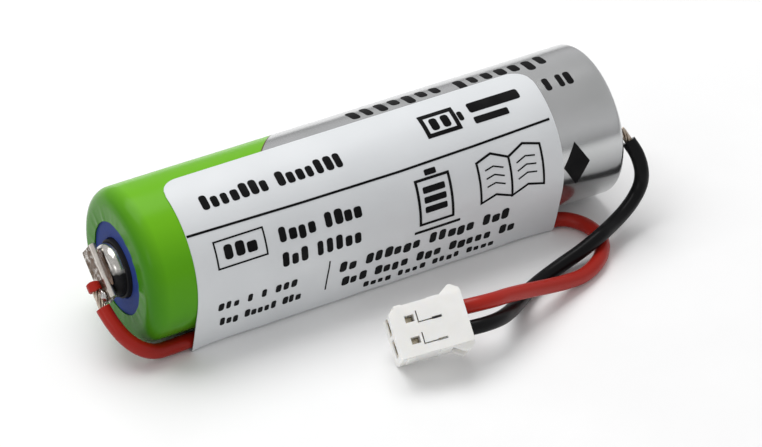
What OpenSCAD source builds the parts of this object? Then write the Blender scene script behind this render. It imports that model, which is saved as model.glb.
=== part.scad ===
// Lithium primary cell, size AA, with soldered leads and a two-way crimp plug.
// The cell lies on its side along X: positive end at -X, negative end at +X.
// Z = 0 is the surface it rests on, and the origin is under its middle.

/* [Cell] */
// Diameter over the shrink sleeve
cell_d = 14.5; // [13.8:0.1:15]
// Length from the positive button to the negative end
cell_len = 50.5; // [49:0.1:51]
// Height of the button above the folded sleeve
button_rise = 1.3; // [1:0.1:1.6]
// Diameter of the positive button
button_d = 5; // [4.8:0.1:6]
// Opening of the sleeve at the positive end
sleeve_hole_d = 8.8; // [8:0.1:9.4]

/* [Label] */
// Width of the wrapped label along the cell
label_w = 38; // [34:0.5:40]
// Distance from the negative end to the label
label_gap = 6.8; // [6:0.1:8]
// Angle of the label's upper edge, from +Y over the top
label_top = 87; // [80:1:92]
// Thickness of the label film
label_t = 0.1; // [0.08:0.01:0.12]

/* [Leads] */
// Diameter over the lead insulation
lead_d = 1.4; // [1.3:0.1:1.5]
// Diameter of the stranded conductor
strand_d = 0.75; // [0.6:0.05:0.8]

/* [Plug] */
// Distance between the two leads at the plug
pitch = 2; // [1.9:0.05:2.1]
// Body width across both leads
plug_w = 4.7; // [4.5:0.1:5]
// Body thickness
plug_t = 4.4; // [4:0.1:4.6]
// Body length along the leads
plug_len = 6.8; // [6.5:0.1:7.5]
// Width across the two side ears
ear_w = 6.2; // [5.8:0.1:6.4]

/* [Hidden] */
$fn = 96;
sleeve_t = 0.15;
cell_r = cell_d / 2;
axis_z = cell_r + label_t;
// Ends of the cell along X
x_neg = cell_len / 2;
x_button = -cell_len / 2;
x_lip = x_button + button_rise;
shoulder_r = 1.5;
heel_r = 0.5;

// Steel can and header
can_r = cell_r - sleeve_t;
can_wall = 0.35;
can_base_t = 0.4;
can_in_r = can_r - can_wall;
can_corner_r = 1;
x_can_end = x_neg - sleeve_t;
x_can_floor = x_can_end - can_base_t;
rim_drop = 1.05;
x_rim = x_lip + rim_drop;
cover_t = 0.7;
seal_r = 1.6;
pin_r = 0.5;
bottom_hole_r = 4.6;

// Stack under the sleeve at the positive end
washer_t = 0.25;
x_washer = x_lip + sleeve_t;
washer_r = 5.7;
washer_in_r = 2.78;
ring_r = 6.3;
ring_floor_t = 0.2;
ring_in_r = 3.3;
ring_bore_r = 1.8;
collar_r = 2.54;
x_collar = -24.2;
collar_gap = 0.02;
cap_brim_r = 3.2;
cap_t = 0.25;
cap_dome_r = 0.8;

// Active materials
anode_t = 0.6;
separator_t = 0.25;
disc_t = 0.4;
x_fill = -19.5;
x_anode_end = x_can_floor - can_corner_r;
collector_r = 0.6;

// Label channel: the red lead runs beside the cell, under the label
channel_y = -4.9;
channel_gap = 0.02;
channel_r = lead_d / 2 + channel_gap;
channel_z = channel_r + label_t;
channel_tilt = atan2(-channel_y, axis_z - channel_z);
label_end = 15;
label_step = 3;
adhesive_t = 0.01;
x_label_1 = x_neg - label_gap;
x_label_0 = x_label_1 - label_w;

// Positive tab: a strip folded lengthwise, welded across the button
tab_angle = 218;
tab_t = 0.15;
tab_w = 2.4;
tab_len = 5.2;
hem_r = 0.3;
hem_at = 0.85;
wire_p = -0.3;
wire_h = 1.25;
slug_len = 0.8;
slug_from = 0.55;
strand_end = 2.95;

// Negative tab: a flat strip stepped over the sleeve's folded end
neg_tab_angle = 163;
neg_tab_w = 3;
neg_tab_back = 2;
neg_tab_out = 6.3;
weld_dot_r = 0.35;

// Plug placement: it lies on its lower corner, held up by the leads
plug_at = [1.5, -18.05, 4.1];
plug_turn = [43.5, -7.5, -13.5];
cavity_w = 1.6;
wire_depth = 0.8;
window_len = 0.85;
window_w = 0.65;
window_at = 5.1;
ear_len = 2.2;
ear_tip = 0.9;
ear_low = -1.4;
ear_high = 1.8;
barrel_len = 2.7;
barrel_wall = 0.2;
box_len = 2.8;
box_w = 1.4;
bridge_t = 0.3;

// Route of the red lead, from its stripped end to the plug
RED = [
    [-26.5, -2.2, 5.3], [-26.2, -3.4, 4.3], [-25.6, -4.5, 3.2], [-24.6, -5.3, 2.2],
    [-23.2, -5.5, 1.4], [-21.5, -5.2, 1.0], [-19.6, -5.0, 0.9], [-16, -4.9, 0.82],
    [-12, -4.9, 0.82], [-8, -4.9, 0.82], [-4, -4.9, 0.82], [0, -4.9, 0.82],
    [4, -4.9, 0.82], [8, -4.9, 0.82], [12, -4.9, 0.82], [16, -4.9, 0.82],
    [18.2, -4.9, 0.82], [19.9, -5.4, 0.8], [21.0, -6.6, 0.7], [21.4, -8.2, 0.7],
    [21.2, -9.8, 0.7], [20.3, -11.4, 0.7], [18.8, -12.8, 0.7], [16.7, -13.9, 0.8],
    [14.5, -14.6, 1.3], [12.0, -15.3, 2.1], [9.3, -16.1, 3.1], [6.9, -16.9, 4.0],
    [4.9, -17.6, 4.65], [3.2, -17.8, 4.95], [1.65, -17.4, 4.8], [1.05, -17.25, 4.72]
];
// Route of the black lead, from its stripped end to the plug
BLACK = [
    [26.2, -6.2, 8.0], [26.6, -7.1, 6.9], [26.7, -7.8, 5.6], [26.5, -8.1, 4.3],
    [25.7, -8.4, 3.2], [24.3, -9.0, 2.5], [22.4, -9.9, 2.2], [20.2, -11.0, 2.2],
    [17.9, -11.5, 1.6], [15.5, -11.8, 1.0], [13.0, -12.5, 0.7], [10.8, -13.6, 0.8],
    [8.7, -15.4, 1.4], [6.8, -17.1, 2.25], [5.0, -18.4, 3.0], [3.1, -19.0, 3.45],
    [1.35, -18.75, 3.41], [0.75, -18.6, 3.34]
];
BLACK_STRIPPED = [25.75, -5.5, 9.0];
lead_sides = 8;

// ---- helpers ----

// Turns a radius-height profile into a solid around the cell's axis
module lathe() {
    translate([0, 0, axis_z]) rotate([0, 90, 0]) rotate_extrude() children();
}

// Half profile from x0 to x1 with a rounded shoulder at either end
module round_bar(r, x0, x1, f0, f1) {
    middle = (x0 + x1) / 2;
    translate([0, x0]) square([r - f0, middle - x0]);
    translate([0, middle]) square([r - f1, x1 - middle]);
    translate([0, x0 + f0]) square([r, x1 - x0 - f0 - f1]);
    intersection() {
        union() {
            translate([r - f0, x0 + f0]) circle(f0);
            translate([r - f1, x1 - f1]) circle(f1);
        }
        translate([0, x0]) square([r, x1 - x0]);
    }
}

// Plain ring profile
module band(r_in, r_out, x0, x1) {
    translate([r_in, x0]) square([r_out - r_in, x1 - x0]);
}

// Rod between two points
module rod(a, b, r) {
    v = b - a;
    turn = [0, acos(v[2] / norm(v)), atan2(v[1], v[0])];
    translate(a) rotate(turn) cylinder(h = norm(v), r = r, $fn = 48);
}

// Local frame on the button: X along the tab, Y across it, Z out of the cell
module on_button() {
    turn = [tab_angle - 90, 0, 0];
    translate([x_button, 0, axis_z]) rotate(turn) rotate([0, -90, 0]) children();
}

// Local frame of the plug: leads leave along +X, the broad face looks along +Z
module on_plug() {
    translate(plug_at) rotate(plug_turn) children();
}

function unit(v) = v / norm(v);
function heading(path, i) =
    unit(path[min(i + 1, len(path) - 1)] - path[max(i - 1, 0)]);
function ring_point(path, i, k, r, ref) =
    let (t = heading(path, i), u = unit(cross(t, ref)), w = cross(u, t))
    let (a = 360 * k / lead_sides)
    path[i] + r * (cos(a) * u + sin(a) * w);

// Round tube swept along a route, with one ring at each of its points
module sweep(path, r, ref) {
    n = len(path);
    points = [
        for (i = [0 : n - 1], k = [0 : lead_sides - 1]) ring_point(path, i, k, r, ref)
    ];
    start = [for (k = [0 : lead_sides - 1]) lead_sides - 1 - k];
    end = [for (k = [0 : lead_sides - 1]) (n - 1) * lead_sides + k];
    sides = [
        for (i = [0 : n - 2], k = [0 : lead_sides - 1])
            let (a = i * lead_sides + k, b = i * lead_sides + (k + 1) % lead_sides)
            [a, b, b + lead_sides, a + lead_sides]
    ];
    polyhedron(points, concat([start, end], sides));
}

// ---- cell ----

module inner_bar() {
    round_bar(can_r, x_lip + sleeve_t, x_can_end, shoulder_r - sleeve_t, heel_r - sleeve_t);
}

module can() {
    color("#b9bcc0") lathe() difference() {
        intersection() {
            inner_bar();
            translate([0, x_rim]) square([can_r, x_can_end - x_rim]);
        }
        round_bar(can_in_r, x_rim - 2, x_can_floor, 0.5, can_corner_r);
    }
}

module lithium_anode() {
    r = can_in_r - anode_t;
    color("#a7a9ac") lathe() band(r, can_in_r, x_fill, x_anode_end);
}

module separator_tube() {
    r = can_in_r - anode_t;
    x0 = x_fill - disc_t;
    color("#f2efe6") lathe() band(r - separator_t, r, x0, x_can_floor - disc_t);
}

module bottom_separator() {
    r = can_in_r - can_corner_r;
    color("#f2efe6") lathe() band(0, r, x_can_floor - disc_t, x_can_floor);
}

module carbon_cathode() {
    r = can_in_r - anode_t - separator_t;
    color("#26262a") lathe() band(collector_r, r, x_fill, x_can_floor - disc_t);
}

module current_collector() {
    color("#c4c6c8") lathe() band(0, collector_r, x_fill, x_can_floor - 2 * disc_t);
}

module top_separator() {
    r = can_in_r - anode_t - separator_t;
    color("#f2efe6") lathe() band(collector_r, r, x_fill - disc_t, x_fill);
}

module header_cover() {
    color("#c4c6c8") lathe() band(seal_r, can_in_r, x_rim, x_rim + cover_t);
}

module glass_seal() {
    color("#3f4a3c") lathe() band(pin_r, seal_r, x_rim, x_rim + cover_t);
}

module positive_pin() {
    color("#d0d2d4") lathe() band(0, pin_r, x_button + cap_t, x_fill);
}

module positive_cap() {
    x_seat = x_rim - ring_floor_t;
    color("#d8d4cc") lathe() difference() {
        union() {
            round_bar(button_d / 2, x_button, x_seat, cap_dome_r, 0.1);
            band(0, cap_brim_r, x_seat - cap_t, x_seat);
        }
        f = cap_dome_r - cap_t;
        round_bar(button_d / 2 - cap_t, x_button + cap_t, x_seat + 1, f, f);
    }
}

module insulator_ring() {
    x_seat = x_rim - ring_floor_t;
    color("#17171a") lathe() union() {
        band(ring_bore_r, ring_r, x_seat, x_rim);
        band(ring_in_r, ring_r, x_washer + washer_t, x_seat + 0.01);
        x_web = x_seat - cap_t - collar_gap;
        band(collar_r, washer_in_r - collar_gap, x_collar, x_web);
        band(collar_r, ring_in_r + 0.1, x_washer + washer_t, x_web);
    }
}

module top_washer() {
    color("#2c4284") lathe() band(washer_in_r, washer_r, x_washer, x_washer + washer_t);
}

module shrink_sleeve() {
    color("#6aa92f") lathe() difference() {
        round_bar(cell_r, x_lip, x_neg, shoulder_r, heel_r);
        inner_bar();
        translate([0, x_lip - 1]) square([sleeve_hole_d / 2, 3]);
        translate([0, x_neg - 1]) square([bottom_hole_r, 3]);
    }
}

// ---- label ----

function arc(centre, r, from, to, step) =
    [for (a = [from : step : to]) centre + r * [cos(a), sin(a)]];

// Section of a film that leaves the cell, wraps the lead and returns to the cell
function wrap_line(t) =
    let (upper = 270 - 2 * channel_tilt)
    concat(
        arc([0, 0], cell_r + t, label_top, upper, label_step),
        arc([channel_y, channel_z - axis_z], channel_r + t, upper, 270, label_step),
        arc([0, 0], cell_r + t, 270, 360 + label_end, label_step)
    );
function reversed(list) = [for (i = [len(list) - 1 : -1 : 0]) list[i]];

module pack_label() {
    color("#e9ebec") translate([x_label_0, 0, axis_z]) rotate([90, 0, 90])
        linear_extrude(label_w)
            polygon(concat(wrap_line(label_t), reversed(wrap_line(adhesive_t))));
}

// ---- positive end ----

module positive_tab() {
    color("#cfc8be") on_button() translate([-tab_len / 2, 0, 0])
        rotate([90, 0, 90]) linear_extrude(tab_len) union() {
            edge = hem_at - tab_w + hem_r;
            translate([edge, 0]) square([hem_at - edge, tab_t]);
            translate([edge, 2 * hem_r - tab_t]) square([hem_at - edge, tab_t]);
            intersection() {
                translate([hem_at, hem_r]) difference() {
                    circle(hem_r, $fn = 48);
                    circle(hem_r - tab_t, $fn = 48);
                }
                translate([hem_at, 0]) square([hem_r, 2 * hem_r]);
            }
        }
}

// Fillet that bonds the strands to the outer layer of the tab
module positive_solder() {
    top = 2 * hem_r;
    from = slug_from + slug_len + 0.1;
    color("#b8b4ac") on_button() difference() {
        translate([from, wire_p - 0.6, top])
            cube([tab_len / 2 - from, 1.2, wire_h - top]);
        translate([0, wire_p, wire_h]) rotate([0, 90, 0])
            cylinder(h = strand_end, d = strand_d, $fn = 48);
    }
}

module red_strands() {
    from = slug_from + slug_len;
    color("#c9a67a") on_button() translate([from, wire_p, wire_h]) rotate([0, 90, 0])
        cylinder(h = strand_end - from, d = strand_d, $fn = 48);
}

// Short piece of insulation left on the tip of the conductor
module red_slug() {
    color("#a8281e") on_button() translate([slug_from, wire_p, wire_h])
        rotate([0, 90, 0]) cylinder(h = slug_len, d = lead_d - 0.1, $fn = 48);
}

module red_lead() {
    color("#b02a1e") sweep(RED, lead_d / 2, [0, 0, 1]);
}

// ---- negative end ----

module negative_tab() {
    color("#cfc8be") translate([x_neg, 0, axis_z]) rotate([neg_tab_angle, 0, 0]) {
        translate([0, -neg_tab_back, -neg_tab_w / 2])
            cube([tab_t, neg_tab_back + neg_tab_out, neg_tab_w]);
        for (dy = [-1, 0, 1])
            translate([-sleeve_t, dy, 0]) rotate([0, 90, 0])
                cylinder(h = 2 * sleeve_t, r = weld_dot_r, $fn = 48);
    }
}

module negative_solder() {
    color("#b8b4ac") difference() {
        translate([x_neg + tab_t, 0, axis_z]) rotate([neg_tab_angle, 0, 0])
            translate([0, neg_tab_out - 1.6, -0.6]) cube([0.5, 1.5, 1.2]);
        rod(BLACK_STRIPPED, BLACK[0], strand_d / 2);
    }
}

module black_strands() {
    color("#c9a67a") rod(BLACK_STRIPPED, BLACK[0], strand_d / 2);
}

module black_lead() {
    color("#161616") sweep(BLACK, lead_d / 2, [0, 1, 0]);
}

// ---- plug ----

module plug_housing() {
    half = plug_w / 2;
    color("#f0efe8") on_plug() difference() {
        union() {
            translate([-plug_len, -half, -plug_t / 2]) cube([plug_len, plug_w, plug_t]);
            for (side = [-1, 1])
                scale([1, side, 1]) translate([0, 0, ear_low])
                    linear_extrude(ear_high - ear_low) polygon([
                        [-ear_len, half - 0.1],
                        [-ear_tip, ear_w / 2],
                        [0, half + 0.3],
                        [0, half - 0.1]
                    ]);
        }
        for (side = [-1, 1]) translate([0, side * pitch / 2, 0]) {
            translate([-plug_len - 1, -cavity_w / 2, -cavity_w / 2])
                cube([plug_len + 2, cavity_w, cavity_w]);
            translate([-window_at - window_len / 2, -window_w / 2, 0])
                cube([window_len, window_w, plug_t]);
        }
    }
}

// Crimp contact: a box for the mating pin, a bridge and a crimped barrel
module contact(side) {
    x_barrel = -wire_depth - barrel_len;
    x_box = x_barrel - 0.4 - box_len;
    color("#d9c27a") on_plug() translate([0, side * pitch / 2, 0]) {
        difference() {
            translate([x_box, -box_w / 2, -box_w / 2]) cube([box_len, box_w, box_w]);
            translate([x_box - 1, -box_w / 2 + 0.2, -box_w / 2 + 0.2])
                cube([box_len + 2, box_w - 0.4, box_w - 0.4]);
        }
        translate([x_barrel - 0.5, -0.3, -box_w / 2]) cube([0.8, 0.6, bridge_t]);
        translate([x_barrel, 0, 0]) rotate([0, 90, 0]) difference() {
            cylinder(h = barrel_len, d = strand_d + 2 * barrel_wall, $fn = 48);
            translate([0, 0, -1])
                cylinder(h = barrel_len + 2, d = strand_d, $fn = 48);
        }
    }
}

module crimped_strands(side) {
    color("#c9a67a") on_plug() translate([-wire_depth - barrel_len, side * pitch / 2, 0])
        rotate([0, 90, 0]) cylinder(h = barrel_len, d = strand_d, $fn = 48);
}

module red_contact() contact(1);
module black_contact() contact(-1);
module red_crimped_strands() crimped_strands(1);
module black_crimped_strands() crimped_strands(-1);

can();
lithium_anode();
separator_tube();
bottom_separator();
carbon_cathode();
current_collector();
top_separator();
header_cover();
glass_seal();
positive_pin();
positive_cap();
insulator_ring();
top_washer();
shrink_sleeve();
pack_label();
positive_tab();
positive_solder();
red_strands();
red_slug();
red_lead();
negative_tab();
negative_solder();
black_strands();
black_lead();
plug_housing();
red_contact();
black_contact();
red_crimped_strands();
black_crimped_strands();
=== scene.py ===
import math
import random

import bmesh
import bpy
from mathutils import Matrix, Vector, noise


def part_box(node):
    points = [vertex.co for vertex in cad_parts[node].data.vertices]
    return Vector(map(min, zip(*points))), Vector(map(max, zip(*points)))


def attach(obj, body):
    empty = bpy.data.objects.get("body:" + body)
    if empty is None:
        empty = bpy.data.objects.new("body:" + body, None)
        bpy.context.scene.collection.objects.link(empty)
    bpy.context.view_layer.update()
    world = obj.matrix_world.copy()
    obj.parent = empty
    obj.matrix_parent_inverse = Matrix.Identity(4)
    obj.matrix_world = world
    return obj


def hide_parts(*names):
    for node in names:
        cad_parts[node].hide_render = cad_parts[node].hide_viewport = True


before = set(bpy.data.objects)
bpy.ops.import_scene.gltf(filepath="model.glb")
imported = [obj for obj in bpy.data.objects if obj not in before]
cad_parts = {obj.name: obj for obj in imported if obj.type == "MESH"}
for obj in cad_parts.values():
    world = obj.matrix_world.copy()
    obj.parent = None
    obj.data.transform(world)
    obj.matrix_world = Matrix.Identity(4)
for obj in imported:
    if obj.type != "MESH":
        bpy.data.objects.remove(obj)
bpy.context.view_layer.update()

MM = 0.001
random.seed(14505)

# ---- places and sizes from the frame, in millimetres ----


def box_mm(node):
    low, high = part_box(node)
    return Vector(low) / MM, Vector(high) / MM


SLEEVE_LO, SLEEVE_HI = box_mm("shrink_sleeve")
LABEL_LO, LABEL_HI = box_mm("pack_label")
CAP_LO, CAP_HI = box_mm("positive_cap")
AXIS_Z = (SLEEVE_LO.z + SLEEVE_HI.z) / 2
CELL_R = (SLEEVE_HI.z - SLEEVE_LO.z) / 2
X_LIP, X_NEG = SLEEVE_LO.x, SLEEVE_HI.x
X_BUTTON = CAP_LO.x
LABEL_X0, LABEL_X1 = LABEL_LO.x, LABEL_HI.x
FILM_T = AXIS_Z - CELL_R

# Shrink sleeve: film thickness, edge radii of its ends and the openings in them
SLEEVE_T = 0.15
SHOULDER_R = 1.5
HEEL_R = 0.5
HOLE_R = 4.4
REAR_HOLE_R = 4.6

# The red lead's channel under the label, and where the label starts and ends round the cell
LEAD_D = 1.4
CHANNEL_Y = -4.9
CHANNEL_R = LEAD_D / 2 + 0.02
CHANNEL_Z = CHANNEL_R + FILM_T
CHANNEL_TILT = math.atan2(-CHANNEL_Y, AXIS_Z - CHANNEL_Z)
LABEL_TOP = math.radians(87)
LABEL_LAST = math.radians(375)

# Routes of the two leads: the same points as in the CAD source
RED = [
    (-26.5, -2.2, 5.3), (-26.2, -3.4, 4.3), (-25.6, -4.5, 3.2), (-24.6, -5.3, 2.2),
    (-23.2, -5.5, 1.4), (-21.5, -5.2, 1.0), (-19.6, -5.0, 0.9), (-16, -4.9, 0.82),
    (-12, -4.9, 0.82), (-8, -4.9, 0.82), (-4, -4.9, 0.82), (0, -4.9, 0.82),
    (4, -4.9, 0.82), (8, -4.9, 0.82), (12, -4.9, 0.82), (16, -4.9, 0.82),
    (18.2, -4.9, 0.82), (19.9, -5.4, 0.8), (21.0, -6.6, 0.7), (21.4, -8.2, 0.7),
    (21.2, -9.8, 0.7), (20.3, -11.4, 0.7), (18.8, -12.8, 0.7), (16.7, -13.9, 0.8),
    (14.5, -14.6, 1.3), (12.0, -15.3, 2.1), (9.3, -16.1, 3.1), (6.9, -16.9, 4.0),
    (4.9, -17.6, 4.65), (3.2, -17.8, 4.95), (1.65, -17.4, 4.8), (1.05, -17.25, 4.72),
]
BLACK = [
    (26.2, -6.2, 8.0), (26.6, -7.1, 6.9), (26.7, -7.8, 5.6), (26.5, -8.1, 4.3),
    (25.7, -8.4, 3.2), (24.3, -9.0, 2.5), (22.4, -9.9, 2.2), (20.2, -11.0, 2.2),
    (17.9, -11.5, 1.6), (15.5, -11.8, 1.0), (13.0, -12.5, 0.7), (10.8, -13.6, 0.8),
    (8.7, -15.4, 1.4), (6.8, -17.1, 2.25), (5.0, -18.4, 3.0), (3.1, -19.0, 3.45),
    (1.35, -18.75, 3.41), (0.75, -18.6, 3.34),
]
BLACK_STRIPPED = (25.75, -5.5, 9.0)
BUNDLE_D = 0.75
STRAND_R = 0.125
STRANDS = 7
LAY_LENGTH = 5.0

# ---- material nodes ----


def mat(name):
    m = bpy.data.materials.new(name)
    m.use_nodes = True
    return m, m.node_tree, m.node_tree.nodes["Principled BSDF"]


def feed(bsdf, socket, signal):
    bsdf.id_data.links.new(signal, bsdf.inputs[socket])


def coords(tree, stretch=(1, 1, 1)):
    source = tree.nodes.new("ShaderNodeTexCoord")
    m = tree.nodes.new("ShaderNodeMapping")
    m.inputs["Scale"].default_value = stretch
    tree.links.new(source.outputs["Object"], m.inputs["Vector"])
    return m.outputs["Vector"]


def noise_of(tree, scale, detail=3.0, rough=0.5, stretch=(1, 1, 1)):
    n = tree.nodes.new("ShaderNodeTexNoise")
    n.inputs["Scale"].default_value = scale
    n.inputs["Detail"].default_value = detail
    n.inputs["Roughness"].default_value = rough
    tree.links.new(coords(tree, stretch), n.inputs["Vector"])
    return n.outputs["Fac"]


def ramp(tree, fac, stops, mode="LINEAR"):
    r = tree.nodes.new("ShaderNodeValToRGB")
    r.color_ramp.interpolation = mode
    while len(r.color_ramp.elements) < len(stops):
        r.color_ramp.elements.new(0.5)
    for e, (at, colour) in zip(r.color_ramp.elements, stops):
        e.position = at
        e.color = (*colour, 1)
    tree.links.new(fac, r.inputs["Fac"])
    return r.outputs["Color"]


def two_tone(tree, fac, dark, light):
    return ramp(tree, fac, [(0.3, dark), (0.7, light)])


def spread(tree, fac, low, high, from_low=0.0, from_high=1.0):
    m = tree.nodes.new("ShaderNodeMapRange")
    m.inputs["From Min"].default_value = from_low
    m.inputs["From Max"].default_value = from_high
    m.inputs["To Min"].default_value = low
    m.inputs["To Max"].default_value = high
    tree.links.new(fac, m.inputs["Value"])
    return m.outputs["Result"]


def mix(tree, fac, a, b):
    m = tree.nodes.new("ShaderNodeMix")
    m.data_type = "RGBA"
    tree.links.new(fac, m.inputs[0])
    for socket, value in ((6, a), (7, b)):
        if isinstance(value, tuple):
            m.inputs[socket].default_value = (*value, 1)
        else:
            tree.links.new(value, m.inputs[socket])
    return m.outputs[2]


def bump(tree, bsdf, heights, distance):
    """Adds up (signal, share) pairs and feeds them to the shader's normal."""
    total = None
    for signal, share in heights:
        s = tree.nodes.new("ShaderNodeMath")
        s.operation = "MULTIPLY_ADD"
        s.inputs[1].default_value = share
        s.inputs[2].default_value = 0.0
        tree.links.new(signal, s.inputs[0])
        if total:
            tree.links.new(total, s.inputs[2])
        total = s.outputs[0]
    b = tree.nodes.new("ShaderNodeBump")
    b.inputs["Distance"].default_value = distance
    tree.links.new(total, b.inputs["Height"])
    tree.links.new(b.outputs["Normal"], bsdf.inputs["Normal"])


def plastic(name, dark, light, rough, grain=700.0, distance=8e-6, coat=0.0, stretch=(1, 1, 1),
            shine=0.3):
    """Moulded or extruded plastic: slight colour drift, fine surface grain."""
    m, t, b = mat(name)
    drift = noise_of(t, grain * 0.3, 2.0, 0.5, stretch)
    fine = noise_of(t, grain * 3, 3.0, 0.6, stretch)
    feed(b, "Base Color", two_tone(t, drift, dark, light))
    feed(b, "Roughness", spread(t, fine, *rough))
    b.inputs["Specular IOR Level"].default_value = shine
    b.inputs["Coat Weight"].default_value = coat
    b.inputs["Coat Roughness"].default_value = 0.06
    bump(t, b, [(drift, 1.0), (fine, 0.5)], distance)
    return m


def metal(name, dark, light, rough, scratch=(1, 1, 1), distance=6e-6, scale=900.0):
    """Plated metal: uneven tarnish and faint scratches."""
    m, t, b = mat(name)
    stain = noise_of(t, scale, 4.0, 0.6)
    lines = noise_of(t, scale * 4, 2.0, 0.6, scratch)
    feed(b, "Base Color", ramp(t, stain, [(0.35, dark), (0.65, light)]))
    feed(b, "Roughness", spread(t, lines, *rough))
    b.inputs["Metallic"].default_value = 1.0
    bump(t, b, [(stain, 0.6), (lines, 0.6)], distance)
    return m


def powder(name, dark, light, rough, scale, distance):
    """Pressed, woven or sintered stuff: coarse speckle."""
    m, t, b = mat(name)
    v = t.nodes.new("ShaderNodeTexVoronoi")
    v.inputs["Scale"].default_value = scale
    t.links.new(coords(t), v.inputs["Vector"])
    fine = noise_of(t, scale * 2, 5.0, 0.7)
    feed(b, "Base Color", two_tone(t, fine, dark, light))
    feed(b, "Roughness", spread(t, fine, *rough))
    b.inputs["Specular IOR Level"].default_value = 0.12
    bump(t, b, [(v.outputs["Distance"], 1.0), (fine, 0.6)], distance)
    return m


# The printed edge between green and silver is the plane PRINT_SLANT . (x, y, z) = PRINT_EDGE, in
# millimetres; PRINT_REACH is how far on both sides of it the shader's 0 to 1 runs.
PRINT_SLANT = (1.0, -0.774, 0.137)
PRINT_EDGE = -7.2
PRINT_REACH = 20.0
OFF, ON = (0, 0, 0), (1, 1, 1)


def grey(level):
    return (level, level, level)


def past_print_edge(t, place):
    """0 to 1 across the printed edge, which lies at 0.5."""
    slant = t.nodes.new("ShaderNodeVectorMath")
    slant.operation = "DOT_PRODUCT"
    slant.inputs[1].default_value = [share / MM for share in PRINT_SLANT]
    t.links.new(place, slant.inputs[0])
    return spread(t, slant.outputs["Value"], 0.0, 1.0, PRINT_EDGE - PRINT_REACH, PRINT_EDGE + PRINT_REACH)


def green_print_with_painted_shade(t, axes, drift):
    """Green print with painted shade: darker towards the floor, lighter on top, and darkest on the front
    face and shoulder.
    """
    # Painted shade: the green darkens towards the floor and lightens on top.
    rise = spread(t, axes.outputs["Z"], 0.0, 1.0, 1.0 * MM, 13.5 * MM)
    shaded_by_height = ramp(t, rise, [
        (0.0, (0.040, 0.155, 0.012)),
        (0.4, (0.075, 0.29, 0.007)),
        (0.8, (0.105, 0.37, 0.007)),
        (1.0, (0.15, 0.44, 0.012)),
    ])
    green = mix(t, spread(t, drift, 0.0, 0.3), shaded_by_height, (0.12, 0.40, 0.008))
    # Painted shade on the front face and shoulder: the green darkens towards the button end.
    fold = spread(t, axes.outputs["X"], 0.3, 1.0, -23.8 * MM, -22.2 * MM)
    return mix(t, fold, (0.026, 0.145, 0.007), green)


def silver_print_with_painted_reflection(t, axes, drift):
    """Silver print with a painted reflection: a dark streak low on the side that faces the leads stands in
    for the black lead and its shadow reflected in the film.
    """
    flake = two_tone(t, drift, (0.55, 0.56, 0.56), (0.60, 0.605, 0.61))
    # Painted reflection: a dark streak a little below the axis, on the near side only.
    reflection_height = spread(t, axes.outputs["Z"], 0.0, 1.0, 3.4 * MM, 9.0 * MM)
    painted_reflection_streak = ramp(t, reflection_height, [
        (0.0, ON),
        (0.25, grey(0.62)),
        (0.5, grey(0.28)),
        (0.72, grey(0.6)),
        (1.0, ON),
    ])
    across = spread(t, axes.outputs["Y"], 0.0, 1.0, -5.0 * MM, 1.0 * MM)
    far_side = ramp(t, across, [(0.0, OFF), (1.0, ON)])
    # The painted reflection darkens the silver towards (0.08, 0.08, 0.083).
    return mix(t, mix(t, far_side, painted_reflection_streak, grey(1.0)), (0.08, 0.08, 0.083), flake)


def sleeve_film():
    """Printed shrink film: green towards the button, metallic grey beyond a slanted edge, with painted
    shade on the green and a painted reflection on the grey.
    """
    m, t, b = mat("sleeve_film")
    place = coords(t)
    shift = past_print_edge(t, place)
    drift = noise_of(t, 260.0, 2.0, 0.5)
    speck = noise_of(t, 5200.0, 2.0, 0.7)
    ripple = noise_of(t, 340.0, 2.0, 0.5, (0.25, 1, 1))
    axes = t.nodes.new("ShaderNodeSeparateXYZ")
    t.links.new(place, axes.inputs[0])
    green = green_print_with_painted_shade(t, axes, drift)
    silver = silver_print_with_painted_reflection(t, axes, drift)
    olive = (0.10, 0.085, 0.03)
    edge = 0.5
    rim_start = edge - 0.007
    past = ramp(t, shift, [(0.0, OFF), (edge, ON)], "CONSTANT")
    rim = ramp(t, shift, [(0.0, OFF), (rim_start, ON), (edge, OFF)], "CONSTANT")
    base = mix(t, past, green, silver)
    feed(b, "Base Color", mix(t, rim, base, olive))
    feed(b, "Metallic", spread(t, past, 0.0, 0.88))
    matt = spread(t, speck, 0.22, 0.27)
    satin = spread(t, ripple, 0.15, 0.21)
    feed(b, "Roughness", mix(t, past, matt, satin))
    b.inputs["IOR"].default_value = 1.2
    bump(t, b, [(ripple, 1.0), (speck, 0.002)], 3.0e-5)
    return m


def label_film():
    """Satin white print film with a faint pull over what lies under it."""
    m, t, b = mat("label_film")
    drift = noise_of(t, 120.0, 2.0, 0.5)
    pull = noise_of(t, 260.0, 3.0, 0.5, (0.2, 1, 1))
    grain = noise_of(t, 6000.0, 3.0, 0.7)
    feed(b, "Base Color", two_tone(t, drift, (0.66, 0.678, 0.695), (0.71, 0.727, 0.743)))
    feed(b, "Roughness", spread(t, grain, 0.34, 0.48))
    b.inputs["Coat Weight"].default_value = 0.15
    b.inputs["Coat Roughness"].default_value = 0.25
    b.inputs["Specular IOR Level"].default_value = 0.3
    bump(t, b, [(pull, 1.0), (grain, 0.04)], 2.2e-5)
    return m


def nylon():
    """Natural nylon: milky, slightly see-through."""
    m, t, b = mat("natural_nylon")
    cloud = noise_of(t, 500.0, 3.0, 0.5)
    grain = noise_of(t, 5200.0, 3.0, 0.7)
    feed(b, "Base Color", two_tone(t, cloud, (0.88, 0.872, 0.845), (0.93, 0.925, 0.905)))
    feed(b, "Roughness", spread(t, grain, 0.36, 0.5))
    b.inputs["Subsurface Weight"].default_value = 0.35
    b.inputs["Subsurface Radius"].default_value = (1.0, 0.9, 0.75)
    b.inputs["Subsurface Scale"].default_value = 0.0004
    bump(t, b, [(cloud, 0.5), (grain, 0.5)], 5e-6)
    return m


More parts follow.
